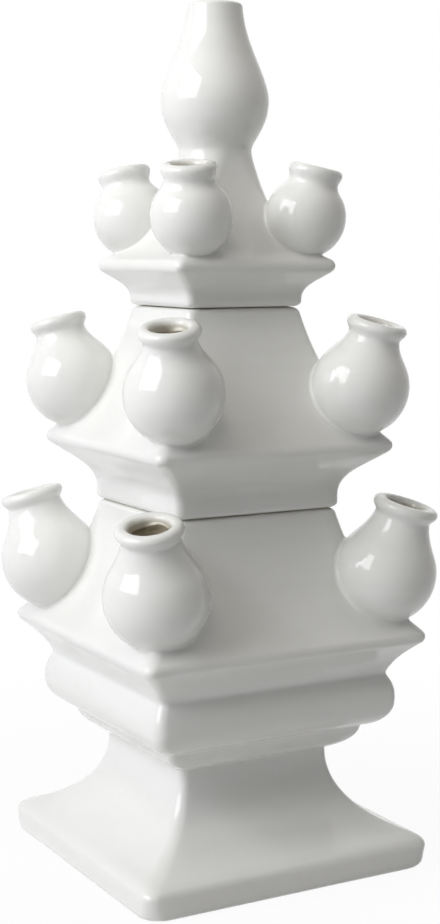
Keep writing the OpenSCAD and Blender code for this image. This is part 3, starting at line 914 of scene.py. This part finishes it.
def make_bottle_neck():
    widest = (GOURD_R, WAIST_Z + GOURD_H)
    bore_r = NECK_MOUTH_R - SPOUT_WALL
    edge_z = NECK_MOUTH_Z - NECK_EDGE_R
    outside = softened(np.vstack([
        waist_joint()[1],
        sweep(widest, 90, (NECK_MOUTH_R, edge_z), NECK_ANGLE, NECK_PULL),
        arc((NECK_MOUTH_R - NECK_EDGE_R, edge_z), NECK_EDGE_R, 0, 90),
        arc((bore_r + NECK_EDGE_R, edge_z), NECK_EDGE_R, 90, 180),
    ]), NECK_BLUR)
    hollow = (GOURD_R - SPOUT_WALL, WAIST_Z + GOURD_H)
    inside = np.vstack([
        sweep((bore_r, NECK_MOUTH_Z - NECK_BORE_H), 270, hollow, 270),
        sweep(hollow, 270, (STEM_R - WALL, WAIST_Z), 270),
    ])
    outer, inner = thinned(outside, *NECK_POINTS), thinned(inside, *NECK_INSIDE_POINTS)
    rings = revolved(np.vstack([outer, inner]), NECK_STEPS)
    depth = np.repeat([0, INSIDE_REACH], [len(outer), len(inner)])
    piece = piece_from("bottle_neck_glazed", rings, np.full(len(rings), GLAZED), depth, loop=True)
    finished(piece, "top_tier", "glaze", "bottle_neck")


make_foot()
make_locating_ring("middle_locating_ring", "middle_tier")
make_locating_ring("top_locating_ring", "top_tier")
make_bottle_neck()


# Stage, lights and camera
FLOOR_SIZE = 8.0
PAPER = (0.8, 0.8, 0.8, 1)
SHADOW_REACH = (0.08, 0.4)
SHADOW_SHARE = 0.06
AIM = Vector((0, 0, 0.2))
SKY_LOW = 0.0
SKY_HIGH = 0.02
WHITE = (1, 1, 1, 1)

# Softboxes: azimuth from the front towards the right, elevation, distance, size, power, tint, and
# whether the glaze mirrors them
Panel = namedtuple("Panel", "azimuth elevation distance size power tint shines")
COOL = (0.955, 0.97, 1.0)
WARM = (1.0, 0.975, 0.9)
PANELS = {
    "key": Panel(-90, 28.5, 2.0, (1.6, 1.25), 34.0, COOL, True),
    "fill": Panel(-58, 60, 1.0, (1.1, 0.7), 4.0, WARM, False),
    "card": Panel(60, 45, 0.55, (0.4, 0.4), 0.3, WARM, False),
    "back": Panel(140, 32, 1.6, (1.0, 0.8), 7.0, COOL, False),
}


def shows_white(nodes, links):
    """One for the rays that show the white stage: seen, mirrored or let through."""
    path = nodes.new("ShaderNodeLightPath")
    seen = path.outputs["Is Camera Ray"]
    for kind in ("Is Glossy Ray", "Is Transmission Ray"):
        either = nodes.new("ShaderNodeMath")
        either.operation = "MAXIMUM"
        links.new(seen, either.inputs[0])
        links.new(path.outputs[kind], either.inputs[1])
        seen = either.outputs["Value"]
    return seen


def make_floor():
    """White paper that keeps a faint shadow of the object and fades to plain white away from it."""
    mesh = bpy.data.meshes.new("floor")
    shape = bmesh.new()
    bmesh.ops.create_grid(shape, x_segments=1, y_segments=1, size=FLOOR_SIZE / 2)
    shape.to_mesh(mesh)
    shape.free()
    floor = bpy.data.objects.new("floor", mesh)
    bpy.context.scene.collection.objects.link(floor)
    material = bpy.data.materials.new("floor")
    material.use_nodes = True
    nodes, links = material.node_tree.nodes, material.node_tree.links
    nodes.remove(nodes["Principled BSDF"])
    paper = nodes.new("ShaderNodeBsdfDiffuse")
    paper.inputs["Color"].default_value = PAPER
    white = nodes.new("ShaderNodeEmission")
    white.inputs["Color"].default_value = WHITE
    away = nodes.new("ShaderNodeVectorMath")
    away.operation = "LENGTH"
    links.new(nodes.new("ShaderNodeTexCoord").outputs["Object"], away.inputs[0])
    fade = nodes.new("ShaderNodeMapRange")
    fade.inputs["From Min"].default_value = SHADOW_REACH[0]
    fade.inputs["From Max"].default_value = SHADOW_REACH[1]
    fade.inputs["To Min"].default_value = 1 - SHADOW_SHARE
    fade.inputs["To Max"].default_value = 1
    links.new(away.outputs["Value"], fade.inputs["Value"])
    seen = nodes.new("ShaderNodeMath")
    seen.operation = "MULTIPLY"
    links.new(shows_white(nodes, links), seen.inputs[0])
    links.new(fade.outputs["Result"], seen.inputs[1])
    mix = nodes.new("ShaderNodeMixShader")
    links.new(seen.outputs["Value"], mix.inputs["Fac"])
    links.new(paper.outputs["BSDF"], mix.inputs[1])
    links.new(white.outputs["Emission"], mix.inputs[2])
    links.new(mix.outputs["Shader"], nodes["Material Output"].inputs["Surface"])
    mesh.materials.append(material)


def make_world():
    """Plain white where it shows, and for light a dark studio with a faint glow from overhead."""
    world = bpy.data.worlds.new("studio")
    bpy.context.scene.world = world
    world.use_nodes = True
    nodes, links = world.node_tree.nodes, world.node_tree.links
    way = nodes.new("ShaderNodeSeparateXYZ")
    links.new(nodes.new("ShaderNodeTexCoord").outputs["Generated"], way.inputs["Vector"])
    sky = nodes["Background"]
    sky.inputs["Color"].default_value = WHITE
    links.new(ranged(nodes, links, way.outputs["Z"], SKY_LOW, SKY_HIGH), sky.inputs["Strength"])
    backdrop = nodes.new("ShaderNodeBackground")
    backdrop.inputs["Color"].default_value = WHITE
    mix = nodes.new("ShaderNodeMixShader")
    links.new(shows_white(nodes, links), mix.inputs["Fac"])
    links.new(sky.outputs["Background"], mix.inputs[1])
    links.new(backdrop.outputs["Background"], mix.inputs[2])
    links.new(mix.outputs["Shader"], nodes["World Output"].inputs["Surface"])


def make_panel(name, panel):
    """Softbox that faces the object."""
    light = bpy.data.lights.new(name, "AREA")
    light.shape = "RECTANGLE"
    light.size, light.size_y = panel.size
    light.energy = panel.power
    light.color = panel.tint
    softbox = bpy.data.objects.new(name, light)
    softbox.visible_glossy = panel.shines
    bpy.context.scene.collection.objects.link(softbox)
    flat, height = along(panel.elevation)
    ahead, across = along(panel.azimuth)
    way = Vector((flat * across, -flat * ahead, height))
    softbox.location = AIM + panel.distance * way
    softbox.rotation_euler = way.to_track_quat("Z", "Y").to_euler()


def make_camera():
    lens = bpy.data.cameras.new("camera")
    lens.sensor_fit = "VERTICAL"
    lens.sensor_height = SENSOR_H
    lens.lens = FOCAL_PX / IMAGE_H * SENSOR_H
    camera = bpy.data.objects.new("camera", lens)
    camera.location = CAMERA_AT
    camera.rotation_euler = (radians(90 - CAMERA_DIP), 0, radians(CAMERA_TURN))
    bpy.context.scene.collection.objects.link(camera)
    bpy.context.scene.camera = camera


make_floor()
make_world()
for name, panel in PANELS.items():
    make_panel(name, panel)
make_camera()
bpy.context.scene.view_settings.view_transform = "Standard"
